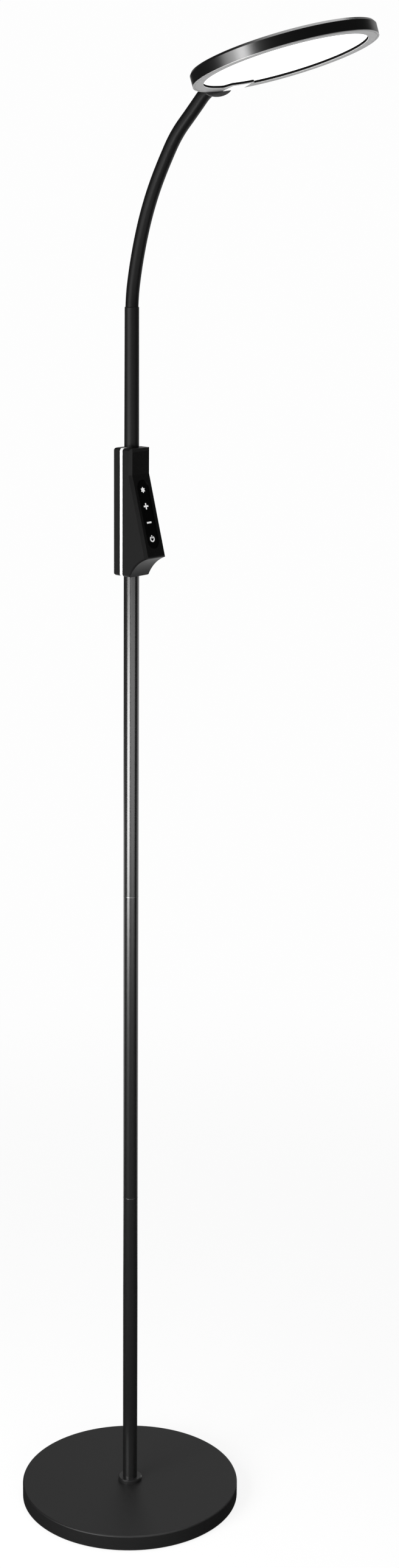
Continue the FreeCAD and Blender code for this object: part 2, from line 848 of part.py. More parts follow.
# ---------------------------------------------------------------- head, in its own frame
# X runs out along the neck's last direction, Z out of the head's back, origin on the neck's axis at the
# head's centre.
def place_head(shape):
    """Moves a piece from the head's own frame to its place at the end of the neck."""
    lean = 90.0 - head_tilt
    centre = joint_centres()[-1] + heading(lean) * (socket_reach + head_radius)
    twist = Rotation(Vector(1, 0, 0), head_twist)
    tilt = Rotation(Vector(0, 1, 0), -head_tilt)
    placed = shape.copy()
    placed.Placement = Placement(centre, tilt.multiply(twist)).multiply(shape.Placement)
    return placed


def optic_face(margin, height):
    """Face of the panel's opening grown by margin: a disc with the bite of the socket's lug out of it."""
    outer = opening_radius + margin
    bitten = opening_radius - lug_depth + margin
    start = lug_start_angle + math.degrees(margin / outer)
    ramp = lug_ramp_angle - math.degrees(margin / outer) / 2
    end = lug_end_angle - math.degrees(margin / outer) / 2
    opposite = (start + end) / 2 + 180.0
    return Part.Face(wire(
        Part.Arc(polar(outer, end, height), polar(outer, opposite, height), polar(outer, start, height)),
        Part.LineSegment(polar(outer, start, height), polar(bitten, start, height)),
        Part.Arc(polar(bitten, start, height), polar(bitten, (start + ramp) / 2, height),
                 polar(bitten, ramp, height)),
        Part.LineSegment(polar(bitten, ramp, height), polar(outer, end, height)),
    ))


def optic_plate(margin, bottom, top):
    """Plate of the opening's outline grown by margin."""
    return optic_face(margin, bottom).extrude(Vector(0, 0, top - bottom))


def sector(inner, outer, start, end, bottom, top):
    """Block between two radii and two angles."""
    middle = (start + end) / 2
    face = Part.Face(wire(
        Part.Arc(polar(outer, start, bottom), polar(outer, middle, bottom), polar(outer, end, bottom)),
        Part.LineSegment(polar(outer, end, bottom), polar(inner, end, bottom)),
        Part.Arc(polar(inner, end, bottom), polar(inner, middle, bottom), polar(inner, start, bottom)),
        Part.LineSegment(polar(inner, start, bottom), polar(outer, start, bottom)),
    ))
    return face.extrude(Vector(0, 0, top - bottom))


def head_screw_places():
    """Centres of the screws on the tray's flange."""
    return list(around(head_screw_count, tray_rim_radius + tray_flange / 2, 180.0 / head_screw_count))


def head_housing():
    """Back shell of the head: side wall, bevelled back edge, screw bosses and the hole for the socket."""
    outer = head_radius
    edge = outer - head_edge_width
    inner = outer - head_wall
    shell = revolved(*outline(
        (inner, bezel_top), (outer, bezel_top), (outer, head_top - head_edge_height), (edge, head_top),
        (0, head_top), (0, housing_ceiling), (inner - head_wall, housing_ceiling),
        (inner, bezel_top + head_wall)))
    thread = head_screw_diameter / 2
    tray_top = tray_bottom + tray_thickness
    for x, y in head_screw_places():
        shell = shell.fuse(cylinder(thread + head_boss_wall, tray_top, housing_ceiling, x, y))
        shell = shell.cut(cylinder(thread + slip, tray_top, housing_ceiling, x, y))
    hole_start = Vector(-outer - overrun, 0, 0)
    hole_end = hole_start + Vector(3 * head_wall, 0, 0)
    return shell.cut(bar(socket_spigot_diameter / 2 + slip, hole_start, hole_end))


def head_bezel():
    """Thin face ring round the opening, with a fine groove near its rim."""
    ring = cylinder(head_radius, underside, bezel_top).cut(optic_plate(0.0, underside - 1, bezel_top + 1))
    groove_outer = head_radius - bezel_groove_inset
    groove = pipe(groove_outer, groove_outer - bezel_groove_width, underside, underside + bezel_groove_depth)
    return ring.cut(groove)


def recess_ring():
    """Dark ring behind the bezel that forms the wall of the recess and holds the diffuser."""
    return optic_plate(recess_ring_width, bezel_top, diffuser_bottom).cut(
        optic_plate(0.0, bezel_top - 1, diffuser_bottom + 1))


def diffuser():
    """Opal plate seen through the bezel."""
    return optic_plate(optic_overlap, diffuser_bottom, guide_bottom)


def light_guide():
    """Clear plate lit from its edge."""
    return optic_plate(optic_overlap - led_depth - slip, guide_bottom, reflector_bottom)


def reflector_sheet():
    """White sheet behind the light guide."""
    return optic_plate(optic_overlap - led_depth - slip, reflector_bottom, tray_bottom)


def led_angles():
    """Angles of the LEDs, spread over the round part of the panel's edge."""
    start = lug_end_angle + led_first_angle
    span = 360.0 - (lug_end_angle - lug_start_angle) - 2 * led_first_angle
    return [start + span * i / (led_count - 1) for i in range(led_count)]


def led_strip_angles():
    """Angles at which the strip board starts and ends."""
    angles = led_angles()
    return angles[0] - led_strip_overhang_angle, angles[-1] + led_strip_overhang_angle


def led_chips():
    """LEDs round the edge of the light guide."""
    chips = []
    middle = (guide_bottom + reflector_bottom) / 2
    back = math.sqrt(optic_radius ** 2 - (led_width / 2) ** 2)
    for angle in led_angles():
        chip = box((back - led_depth, -led_width / 2, middle - led_height / 2),
                   (back, led_width / 2, middle + led_height / 2))
        chip.rotate(Vector(0, 0, 0), Vector(0, 0, 1), angle)
        chips.append(chip)
    return Part.makeCompound(chips)


def led_strip():
    """Strip board that carries the LEDs, against the wall of the tray."""
    start, end = led_strip_angles()
    return sector(optic_radius, led_strip_outer_radius, start, end, guide_bottom, reflector_bottom)


def heat_tray():
    """Aluminium tray behind the optics.  Its rim backs the LED strip and its flange is screwed down."""
    flange_radius = tray_rim_radius + tray_flange
    tray = cylinder(flange_radius, tray_bottom, tray_bottom + tray_thickness)
    start, end = led_strip_angles()
    rim = sector(led_strip_outer_radius + slip, tray_rim_radius, start, end, guide_bottom, tray_bottom)
    tray = tray.fuse(rim)
    for x, y in head_screw_places():
        hole_top = tray_bottom + tray_thickness
        tray = tray.cut(cylinder(head_screw_diameter / 2 + slip, tray_bottom, hole_top, x, y))
    bite_radius = opening_radius - lug_depth + optic_overlap
    bite_end = 180.0 + math.degrees((socket_block_width / 2 + loose) / bite_radius)
    bite = sector(bite_radius, head_radius, lug_start_angle, bite_end,
                  guide_bottom - 1, tray_bottom + tray_thickness + 1)
    return tray.cut(bite)


def head_screws():
    """Screws that hold the tray to the housing."""
    screws = []
    tip = housing_ceiling - loose
    for x, y in head_screw_places():
        head_bottom = tray_bottom - head_screw_head_height
        head = cylinder(head_screw_head_diameter / 2, head_bottom, tray_bottom, x, y)
        screws.append(head.fuse(cylinder(head_screw_diameter / 2, tray_bottom, tip, x, y)))
    return Part.makeCompound(screws)


def wall_cylinder():
    """The space inside the head's outer wall, for fitting the socket to it."""
    return cylinder(head_radius, underside - socket_diameter, head_top + socket_diameter)


def socket_section(reach, half_width, half_height, drop):
    """Oval section of the socket at a distance outside the head's wall, its middle below the neck's axis."""
    x = -head_radius - reach
    oval = Part.Ellipse(Vector(x, half_width, -drop), Vector(x, 0, half_height - drop), Vector(x, 0, -drop))
    return Part.Wire([oval.toShape()])


def neck_socket():
    """Socket moulded to the head's wall: a round mouth that takes the neck's end and flares out sideways
    and downwards to its foot on the wall, and a hollow spigot that reaches into the head."""
    wall = -head_radius
    mouth_radius = socket_diameter / 2
    foot_inside = head_radius - math.sqrt(head_radius ** 2 - socket_foot_half_width ** 2) + loose
    waist_width = (mouth_radius * 2 + socket_foot_half_width) / 3
    mouth = socket_section(socket_mouth_reach, mouth_radius + slip, mouth_radius, 0.0)
    waist = socket_section(socket_waist_reach, waist_width, mouth_radius, socket_foot_drop / 3)
    foot = socket_section(0.0, socket_foot_half_width, socket_foot_half_height, socket_foot_drop)
    body = Part.makeLoft([mouth, waist, foot], True, False)
    body = body.fuse(Part.Face(foot).extrude(Vector(foot_inside, 0, 0))).cut(wall_cylinder())
    spigot_end = Vector(wall + socket_spigot_length, 0, 0)
    body = body.fuse(bar(socket_spigot_diameter / 2, Vector(wall - overrun, 0, 0), spigot_end))
    floor = Vector(wall - socket_floor_reach, 0, 0)
    mouth_centre = Vector(wall - socket_mouth_reach - overrun, 0, 0)
    body = body.cut(bar(sheath_radius + slip, mouth_centre, floor))
    return body.cut(bar(socket_bore / 2, floor, Vector(wall + socket_spigot_length, 0, 0)))


def neck_end():
    """The neck's last piece, fixed in the socket: its sheath and its core."""
    length = socket_reach - socket_floor_reach
    pieces = []
    for outer, inner in ((sheath_radius, sheath_bore_radius), (core_radius, core_bore_radius)):
        piece = neck_piece(outer, inner, 0.0, length, True, False)
        start = Vector(-head_radius - socket_reach, 0, 0)
        piece.Placement = Placement(start, Rotation(Vector(0, 1, 0), 90.0))
        pieces.append(piece)
    return pieces


def socket_block():
    """Clamp block inside the head, between the bezel and the back: it grips the socket's spigot and reaches
    sideways under the lug, where its screws are."""
    wall = -head_radius
    half = socket_block_width / 2
    end = wall + socket_spigot_length
    arm_inside = opening_radius - lug_depth + optic_overlap + overrun
    arm = sector(arm_inside, head_radius, lug_block_start_angle, lug_block_end_angle,
                 bezel_top, housing_ceiling)
    arm_end = head_radius * math.sin(math.radians(lug_block_end_angle))
    block = box((wall, -half, bezel_top), (end, arm_end + overrun, housing_ceiling)).fuse(arm)
    inside = Part.makeCone(head_radius - head_wall, head_radius - 2 * head_wall,
                           housing_ceiling - bezel_top - head_wall, Vector(0, 0, bezel_top + head_wall))
    inside = inside.fuse(cylinder(head_radius - head_wall, bezel_top, bezel_top + head_wall))
    block = block.common(inside)
    return block.cut(bar(socket_spigot_diameter / 2 + slip, Vector(wall, 0, 0), Vector(end, 0, 0)))


def socket_cover():
    """Pale plate on the bezel's lug over the screws of the clamp block."""
    inside = opening_radius - lug_depth + lug_plate_margin
    outside = head_radius - lug_plate_margin
    return sector(inside, outside, lug_plate_start_angle, lug_plate_end_angle,
                  underside - lug_plate_thickness, underside)


# ---------------------------------------------------------------- write every piece
def build():
    """Every piece of the lamp by the name of its node."""
    sheath_base, core_base = neck_base()
    sheath_end, core_end = neck_end()
    pieces = {
        "base_cover": base_cover(),
        "base_weight": base_weight(),
        "base_pad": base_pad(),
        "base_screws": base_screws(),
        "pole_foot": pole_foot(),
        "foot_nut": foot_nut(),
        "foot_washer": foot_washer(),
        "pole_collar": pole_collar(),
        "power_inlet": power_inlet(),
        "pole_lower_tube": pole_tube(base_height, lower_joint),
        "pole_middle_tube": pole_tube(middle_tube_bottom, upper_joint),
        "pole_upper_tube": pole_upper_tube(),
        "lower_coupling": coupling(lower_joint),
        "upper_coupling": coupling(upper_joint),
        "pole_lead": pole_lead(),
        "controller_front_shell": controller_front_shell(),
        "controller_back_shell": controller_back_shell(),
        "accent_strip": accent_strip(),
        "touch_panel": touch_panel(),
        "touch_board": touch_board(),
        "touch_pads": touch_pads(),
        "controller_screws": controller_screws(),
        "neck_lead": neck_lead(),
        "neck_adapter": neck_adapter(),
        "neck_sleeve": neck_sleeve(),
        "neck_sheath_base": sheath_base,
        "neck_core_base": core_base,
    }
    for number, (sheath, core) in enumerate(neck_links(), start=1):
        pieces[f"neck_sheath_{number}"] = sheath
        pieces[f"neck_core_{number}"] = core
    head_pieces = {
        "neck_sheath_end": sheath_end,
        "neck_core_end": core_end,
        "neck_socket": neck_socket(),
        "socket_block": socket_block(),
        "socket_cover": socket_cover(),
        "head_housing": head_housing(),
        "head_bezel": head_bezel(),
        "recess_ring": recess_ring(),
        "diffuser": diffuser(),
        "light_guide": light_guide(),
        "reflector_sheet": reflector_sheet(),
        "led_chips": led_chips(),
        "led_strip": led_strip(),
        "heat_tray": heat_tray(),
        "head_screws": head_screws(),
    }
    for name, piece in head_pieces.items():
        pieces[name] = place_head(piece)
    return pieces


os.makedirs("parts", exist_ok=True)
for node, shape in build().items():
    shape.exportStep(f"parts/{node}.step")
    print(f"{node}: {len(shape.Solids)} solid(s), {shape.Volume / 1000:.2f} cm3, valid {shape.isValid()}")
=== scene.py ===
import json
import math

import bmesh
import bpy
from mathutils import Matrix, Vector

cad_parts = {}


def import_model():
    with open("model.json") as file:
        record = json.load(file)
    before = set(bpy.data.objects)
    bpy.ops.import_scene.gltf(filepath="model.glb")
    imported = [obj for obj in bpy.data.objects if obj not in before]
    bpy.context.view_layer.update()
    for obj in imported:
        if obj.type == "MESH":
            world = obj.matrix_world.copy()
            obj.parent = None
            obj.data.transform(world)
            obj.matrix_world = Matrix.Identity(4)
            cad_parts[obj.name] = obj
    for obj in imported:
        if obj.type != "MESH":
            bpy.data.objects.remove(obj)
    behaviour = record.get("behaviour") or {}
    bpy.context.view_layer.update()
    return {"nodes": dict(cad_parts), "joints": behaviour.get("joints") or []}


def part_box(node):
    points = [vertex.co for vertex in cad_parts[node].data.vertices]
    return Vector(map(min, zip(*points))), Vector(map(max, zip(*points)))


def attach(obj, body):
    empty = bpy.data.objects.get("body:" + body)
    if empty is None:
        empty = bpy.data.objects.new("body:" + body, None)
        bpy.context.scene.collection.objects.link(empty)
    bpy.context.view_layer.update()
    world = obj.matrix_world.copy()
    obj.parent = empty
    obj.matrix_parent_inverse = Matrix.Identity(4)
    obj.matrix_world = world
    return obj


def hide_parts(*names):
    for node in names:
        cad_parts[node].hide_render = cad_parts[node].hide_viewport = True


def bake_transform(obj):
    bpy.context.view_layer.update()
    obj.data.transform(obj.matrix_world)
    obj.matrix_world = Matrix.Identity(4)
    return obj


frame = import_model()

# Lengths are in metres. Angles are in radians where a line doesn't say degrees.

# Places read from the frame.
CONTROLLER_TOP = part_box("controller_back_shell")[1].z
JOINTS = frame["joints"]

# The flexible neck's skin.
NECK_RADIUS = 0.0076
RING_POINTS = 48
RING_STEP = 0.0022
FEWEST_STEPS = 4
STRAIGHT_BELOW = 1e-4
LAST_BEND_LENGTH = 0.0115
NODE_END_DEPTH = 0.0002

# The joint whose skin is listed apart. Its skin is baked in place just as every other joint's skin is.
BLENDED_BACKWARDS = ("neck_bend_4",)

# The controller's slanted face: the place of its upper bend, and its slope down to the housing's tip.
CONTROLLER_HEIGHT = 0.1515
FACE_REACH = 0.0148
FACE_DROP = 0.0305
TIP_REACH = 0.0414
TIP_RISE = 0.025
FACE_BEND = Vector((FACE_REACH, 0.0, CONTROLLER_TOP - FACE_DROP))
FACE_SLANT = math.atan2(TIP_REACH - FACE_REACH, CONTROLLER_HEIGHT - FACE_DROP - TIP_RISE)

# The keys, down the face from that bend, and the inlay on the floor of their pocket.
KEY_COUNT = 4
FIRST_KEY = 0.0184
KEY_PITCH = 0.0194
KEY_POCKET_DEPTH = 0.0015
KEY_POCKET_WIDTH = 0.020
KEY_POCKET_OVERRUN = 0.0018
INLAY_MARGIN = 0.0001
INLAY_THICKNESS = 0.00008
INLAY_END_STEPS = 32

# The symbols on the keys. Shares are of the symbol's size or of the line's width.
ICON_THICKNESS = 0.00012
ICON_SIZE = 0.0074
ICON_STROKE = 0.0019
STAR_POINTS = 6
STAR_WAIST_SHARE = 0.31
POWER_STROKE_SHARE = 0.75
POWER_RING_START_DEGREES = 128
POWER_RING_END_DEGREES = 412
POWER_STEM_RISE_SHARE = 0.33
POWER_STEM_WIDTH_SHARE = 0.9
POWER_STEM_LENGTH_SHARE = 0.5
RING_STEPS = 32

# Finishes.
GRAIN_HEIGHT = 0.0003
GRAIN_DETAIL = 2.0
LIT_ROUGHNESS = 0.5

# The camera, fitted to the photograph.
CAMERA_LEAN = math.radians(44.0)
CAMERA_YAW = math.radians(1.61)
CAMERA_PITCH = math.radians(14.67)
CAMERA_ROLL = math.radians(0.50)
CAMERA_DISTANCE = 2.9554
CAMERA_HEIGHT = 1.7346
CAMERA_LENS = 57.76
CAMERA_SENSOR = 36.0
CAMERA_REACH = 60.0

# The backdrop and the soft light that comes from it. A tone of 1 is white.
BACKDROP_TONE = 0.985
SKY_LIGHT_TONE = 0.5
SKY_LIGHT_STRENGTH = 0.4

# The floor: what is seen of it near the base and beyond, and how other light meets it.
FLOOR_SIZE = 40.0
FLOOR_GLOW = 0.845
FLOOR_SHADOW_TONE = 0.16
FLOOR_FADE_START = 0.5
FLOOR_FADE_END = 2.0
FLOOR_TONE = 0.8
FLOOR_ROUGHNESS = 0.9

# Softboxes level with their targets on the pole: direction in degrees from the camera's, left negative,
# distance from the pole, height of the middle, width, height and power in watts.
SOFTBOXES = {
    "left low softbox": (-39.0, 1.45, 0.6, 0.95, 0.5, 19),
    "left high softbox": (-43.0, 1.45, 1.3, 1.15, 0.6, 5),
    "head softbox": (-46.0, 2.4, 1.98, 0.6, 0.6, 18),
    "head side softbox": (-64.0, 2.4, 1.88, 0.9, 0.6, 8),
    "right softbox": (25.0, 1.9, 0.55, 2.3, 0.66, 11),
}
TOP_SOFTBOX_PLACE = (0.2, 0.2, 3.2)
TOP_SOFTBOX_TARGET = (0, 0, 0.3)
TOP_SOFTBOX_SIZE = 1.6
TOP_SOFTBOX_POWER = 30

# Dark upright cards all round, by the direction in degrees at which each starts. Those from
# RAISED_CARDS_FROM on stand clear of the floor, and the two behind the lamp are less dark.
DARK_TONE = 0.03
CARD_SPAN = 30
CARD_STARTS = range(-195, 165, CARD_SPAN)
CARD_DISTANCE = 3.6
CARD_TOP = 4.5
RAISED_CARDS_FROM = 105
RAISED_CARD_FOOT = 0.9
REAR_CARD_STARTS = (-195, 135)
REAR_CARD_TONE = 0.45

# The pale card behind the camera: first and last direction in degrees, distance, foot, top and tone.
PALE_CARD = (-12.0, 8.0, 3.4, 0.6, 1.05, 1.0)

# Dark cards that lie flat: height, and how far each reaches beyond the pole.
FLAT_CARDS = {"dark mat": (0.002, 0.6), "dark ceiling": (4.4, 4.0)}
FLAT_CARD_REACH = 4.0


# ---------------------------------------------------------------- materials
def shader(name):
    """A material, its node tree and its Principled shader."""
    material = bpy.data.materials.new(name)
    material.use_nodes = True
    tree = material.node_tree
    return material, tree, tree.nodes["Principled BSDF"]


def surface(name, colour, roughness, metallic=0.0, specular=0.5, coat=0.0, coat_roughness=0.1):
    """A plain surface of one colour."""
    material, _, bsdf = shader(name)
    bsdf.inputs["Base Color"].default_value = (*colour, 1.0)
    bsdf.inputs["Roughness"].default_value = roughness
    bsdf.inputs["Metallic"].default_value = metallic
    bsdf.inputs["Specular IOR Level"].default_value = specular
    bsdf.inputs["Coat Weight"].default_value = coat
    bsdf.inputs["Coat Roughness"].default_value = coat_roughness
    return material


def grained(material, scale, depth):
    """Adds a fine bump to a surface."""
    tree = material.node_tree
    bsdf = tree.nodes["Principled BSDF"]
    coordinates = tree.nodes.new("ShaderNodeTexCoord")
    noise = tree.nodes.new("ShaderNodeTexNoise")
    noise.inputs["Scale"].default_value = scale
    noise.inputs["Detail"].default_value = GRAIN_DETAIL
    bump = tree.nodes.new("ShaderNodeBump")
    bump.inputs["Strength"].default_value = depth
    bump.inputs["Distance"].default_value = GRAIN_HEIGHT
    tree.links.new(coordinates.outputs["Object"], noise.inputs["Vector"])
    tree.links.new(noise.outputs["Fac"], bump.inputs["Height"])
    tree.links.new(bump.outputs["Normal"], bsdf.inputs["Normal"])
    return material


def flecked(material, colour, fleck, scale, share):
    """Scatters small paler flecks over a dark surface."""
    tree = material.node_tree
    bsdf = tree.nodes["Principled BSDF"]
    coordinates = tree.nodes.new("ShaderNodeTexCoord")
    cells = tree.nodes.new("ShaderNodeTexVoronoi")
    cells.inputs["Scale"].default_value = scale
    ramp = tree.nodes.new("ShaderNodeValToRGB")
    ramp.color_ramp.elements[0].position = 1.0 - share
    ramp.color_ramp.elements[0].color = (*colour, 1.0)
    ramp.color_ramp.elements[1].position = 1.0
    ramp.color_ramp.elements[1].color = (*fleck, 1.0)
    tree.links.new(coordinates.outputs["Object"], cells.inputs["Vector"])
    tree.links.new(cells.outputs["Color"], ramp.inputs["Fac"])
    tree.links.new(ramp.outputs["Color"], bsdf.inputs["Base Color"])
    return material


def lit(name, colour, strength):
    """A surface that glows."""
    material = surface(name, colour, LIT_ROUGHNESS)
    bsdf = material.node_tree.nodes["Principled BSDF"]
    bsdf.inputs["Emission Color"].default_value = (*colour, 1.0)
    bsdf.inputs["Emission Strength"].default_value = strength
    return material


def grey(value):
    """A neutral colour."""
    return (value, value, value)


BASE_BLACK = flecked(surface("base powder coat", grey(0.008), roughness=0.48, specular=0.42),
                     colour=grey(0.008), fleck=grey(0.08), scale=2600, share=0.04)
COLLAR_BLACK = surface("collar satin black", grey(0.012), roughness=0.3, specular=0.5)
POLE_BLACK = flecked(surface("pole metallic black", grey(0.008), roughness=0.25, specular=1.0),
                     colour=grey(0.008), fleck=grey(0.04), scale=2200, share=0.06)
RUBBER = surface("neck rubber", grey(0.006), roughness=0.4, specular=0.15)
SLEEVE_RUBBER = surface("sleeve rubber", grey(0.008), roughness=0.42, specular=0.2)
SHELL_GREY = grained(surface("shell textured grey", grey(0.006), roughness=0.42, specular=0.26),
                     scale=1800, depth=0.15)
PANEL_BLACK = surface("panel satin black", grey(0.006), roughness=0.22, specular=0.4)
KEY_BLACK = surface("key inlay gloss black", grey(0.001), roughness=0.06, specular=0.4)
STRIP_WHITE = surface("strip white", grey(0.8), roughness=0.35)
# The socket's pale cover glows weakly: painted light that stands for the panel's light falling on it.
COVER_WHITE_PAINTED_GLOW = lit("cover white with painted panel light", grey(0.8), strength=0.5)
ICON_WHITE = lit("icon white", grey(0.8), strength=0.35)
HEAD_BLACK = surface("head gloss black", grey(0.002), roughness=0.3, specular=0.9,
                     coat=0.3, coat_roughness=0.26)
BEZEL_GREY = surface("bezel satin grey", grey(0.42), roughness=0.4, metallic=0.25)
RECESS_BLACK = surface("recess black", grey(0.006), roughness=0.9, specular=0.0)
PLASTIC_BLACK = surface("black plastic", grey(0.012), roughness=0.45)
DIFFUSER_WHITE = lit("diffuser lit white", grey(0.95), strength=1.0)
GUIDE_CLEAR = surface("light guide", grey(0.9), roughness=0.1)
SHEET_WHITE = surface("reflector white", grey(0.9), roughness=0.6)
STEEL = surface("zinc plated steel", grey(0.5), roughness=0.32, metallic=1.0)
CAST_IRON = grained(surface("cast iron", grey(0.08), roughness=0.7, metallic=0.4),
                    scale=400, depth=0.5)
FOAM = grained(surface("foam rubber", grey(0.02), roughness=0.85), scale=1500, depth=0.5)
BOARD_GREEN = surface("board laminate", (0.02, 0.09, 0.04), roughness=0.45)
ALUMINIUM = surface("pressed aluminium", grey(0.6), roughness=0.38, metallic=1.0)
JACKET = surface("lead jacket", grey(0.015), roughness=0.5)
LED_FACE = lit("led face", (0.95, 0.9, 0.75), strength=0.5)

# The CAD nodes that have each finish, apart from the neck's links.
FINISHES = {
    BASE_BLACK: ["base_cover"],
    COLLAR_BLACK: ["pole_collar", "neck_socket"],
    POLE_BLACK: ["pole_lower_tube", "pole_middle_tube", "pole_upper_tube"],
    SLEEVE_RUBBER: ["neck_sleeve"],
    SHELL_GREY: ["controller_front_shell", "controller_back_shell"],
    PANEL_BLACK: ["touch_panel"],
    STRIP_WHITE: ["accent_strip"],
    COVER_WHITE_PAINTED_GLOW: ["socket_cover"],
    HEAD_BLACK: ["head_housing"],
    BEZEL_GREY: ["head_bezel"],
    RECESS_BLACK: ["recess_ring"],
    PLASTIC_BLACK: ["power_inlet"],
    DIFFUSER_WHITE: ["diffuser"],
    GUIDE_CLEAR: ["light_guide"],
    SHEET_WHITE: ["reflector_sheet"],
    STEEL: ["base_screws", "foot_nut", "foot_washer", "pole_foot", "lower_coupling",
            "upper_coupling", "controller_screws", "neck_adapter", "head_screws"],
    CAST_IRON: ["base_weight", "socket_block"],
    FOAM: ["base_pad", "touch_pads"],
    BOARD_GREEN: ["touch_board", "led_strip"],
    ALUMINIUM: ["heat_tray"],
    JACKET: ["pole_lead", "neck_lead"],
    LED_FACE: ["led_chips"],
}


def paint(obj, material):
    """Gives an object one material."""
    obj.data.materials.clear()
    obj.data.materials.append(material)


def dress_nodes():
    """Gives every CAD node its finish."""
    for material, names in FINISHES.items():
        for name in names:
            paint(frame["nodes"][name], material)
    for name, node in frame["nodes"].items():
        if name.startswith("neck_core"):
            paint(node, STEEL)
        if name.startswith("neck_sheath"):
            paint(node, RUBBER)


# ---------------------------------------------------------------- pieces
def new_object(name, mesh, material):
    """An object from a bmesh, with one material."""
    data = bpy.data.meshes.new(name)
    mesh.normal_update()
    mesh.to_mesh(data)
    mesh.free()
    obj = bpy.data.objects.new(name, data)
    bpy.context.scene.collection.objects.link(obj)
    paint(obj, material)
    return obj


def frame_axis(node, start):
    """Direction from a point to the middle of a node's far end."""
    points = [Vector(v.co) for v in frame["nodes"][node].data.vertices]
    reach = max((p - start).length for p in points)
    far = [p for p in points if (p - start).length > reach - NODE_END_DEPTH]
    middle = sum(far, Vector()) / len(far)
    return (middle - start).normalized()


def bend_path(corner, before, after, length):
    """Points and directions along the arc that turns from one direction to the other at a corner."""
    angle = before.angle(after)
    steps = max(FEWEST_STEPS, round(2 * length / RING_STEP))
    if angle < STRAIGHT_BELOW:
        return [(corner + before * length * (2 * i / steps - 1), before) for i in range(steps + 1)]
    radius = length / math.tan(angle / 2)
    normal = before.cross(after).normalized()
    inwards = normal.cross(before)
    centre = corner - before * length + inwards * radius
    path = []
    for i in range(steps + 1):
        turn = Matrix.Rotation(angle * i / steps, 3, normal)
        path.append((centre - turn @ inwards * radius, turn @ before))
    return path


def tube(name, path, radius, material):
    """A closed round tube along points with directions."""
    mesh = bmesh.new()
    side = Vector((0, 1, 0))
    rings = []
    for point, direction in path:
        up = direction.cross(side).normalized()
        ring = []
        for i in range(RING_POINTS):
            angle = 2 * math.pi * i / RING_POINTS
            outwards = math.cos(angle) * side + math.sin(angle) * up
            ring.append(mesh.verts.new(point + radius * outwards))
        rings.append(ring)
    for low, high in zip(rings, rings[1:]):
        for i in range(RING_POINTS):
            j = (i + 1) % RING_POINTS
            mesh.faces.new((low[i], low[j], high[j], high[i])).smooth = True
    for cap in (mesh.faces.new(rings[0]), mesh.faces.new(list(reversed(rings[-1])))):
        for edge in cap.edges:
            edge.smooth = False
    bmesh.ops.recalc_face_normals(mesh, faces=mesh.faces)
    return new_object(name, mesh, material)


def neck_skin():
    """The neck's smooth rubber skin, one piece per joint, each bent between the two bodies it joins."""
    places = [Vector(joint["pos_m"]) for joint in JOINTS]
    towards_head = frame_axis("neck_sheath_end", places[-1])
    directions = [Vector((0, 0, 1))]
    directions += [(b - a).normalized() for a, b in zip(places, places[1:])]
    directions.append(towards_head)
    half = (places[1] - places[0]).length / 2
    for i, joint in enumerate(JOINTS):
        before, after = directions[i], directions[i + 1]
        last = i == len(JOINTS) - 1
        reach = LAST_BEND_LENGTH if last else half
        path = bend_path(places[i], before, after, reach)
        if last:
            path.insert(0, (places[i] - before * half, before))
        skin = tube(f"neck_skin_{i}", path, NECK_RADIUS, RUBBER)
        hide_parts("neck_sheath_base" if i == 0 else f"neck_sheath_{i}")
        if last:
            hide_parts("neck_sheath_end")
        if joint["name"] in BLENDED_BACKWARDS:
            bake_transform(skin)
        else:
            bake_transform(skin)


def face_place(distance, depth):
    """Matrix on the slanted face: X across, Y up the face, Z out of it."""
    down = Vector((math.sin(FACE_SLANT), 0, -math.cos(FACE_SLANT)))
    out = Vector((math.cos(FACE_SLANT), 0, math.sin(FACE_SLANT)))
    across = (-down).cross(out)
    rotation = Matrix((across, -down, out)).transposed().to_4x4()
    return Matrix.Translation(FACE_BEND + down * distance - out * depth) @ rotation


def plate(mesh, outline, thickness, place):
    """Adds a flat plate with the outline's points, standing up from its place."""
    low = [mesh.verts.new(place @ Vector((x, y, 0))) for x, y in outline]
    high = [mesh.verts.new(place @ Vector((x, y, thickness))) for x, y in outline]
    mesh.faces.new(list(reversed(low)))
    mesh.faces.new(high)
    count = len(outline)
    for i in range(count):
        j = (i + 1) % count
        mesh.faces.new((low[i], low[j], high[j], high[i]))


def bar_outline(length, width):
    """Corners of a bar along X."""
    x, y = length / 2, width / 2
    return [(-x, -y), (x, -y), (x, y), (-x, y)]


def star_outline(size):
    """A stubby star."""
    points = []
    for i in range(2 * STAR_POINTS):
        radius = size / 2 if i % 2 == 0 else size * STAR_WAIST_SHARE
        angle = math.radians(90 + 180 / STAR_POINTS * i)
        points.append((radius * math.cos(angle), radius * math.sin(angle)))
    return points


def plus_outline(size, width):
    """The outline of a plus sign."""
    a, b = size / 2, width / 2
    return [(-a, -b), (-b, -b), (-b, -a), (b, -a), (b, -b), (a, -b),
            (a, b), (b, b), (b, a), (-b, a), (-b, b), (-a, b)]


def arc_outline(outer, inner, start, end):
    """The outline of part of a ring between two angles in degrees."""
    angles = [math.radians(start + (end - start) * i / RING_STEPS) for i in range(RING_STEPS + 1)]
    points = [(outer * math.cos(a), outer * math.sin(a)) for a in angles]
    return points + [(inner * math.cos(a), inner * math.sin(a)) for a in reversed(angles)]


def icon(name, outlines, key):
    """One key's symbol, printed white on the inlay."""
    mesh = bmesh.new()
    place = face_place(FIRST_KEY + key * KEY_PITCH, KEY_POCKET_DEPTH - INLAY_THICKNESS)
    for outline in outlines:
        plate(mesh, outline, ICON_THICKNESS, place)
    bmesh.ops.recalc_face_normals(mesh, faces=mesh.faces)
    symbol = new_object(name, mesh, ICON_WHITE)
    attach(symbol, "root")


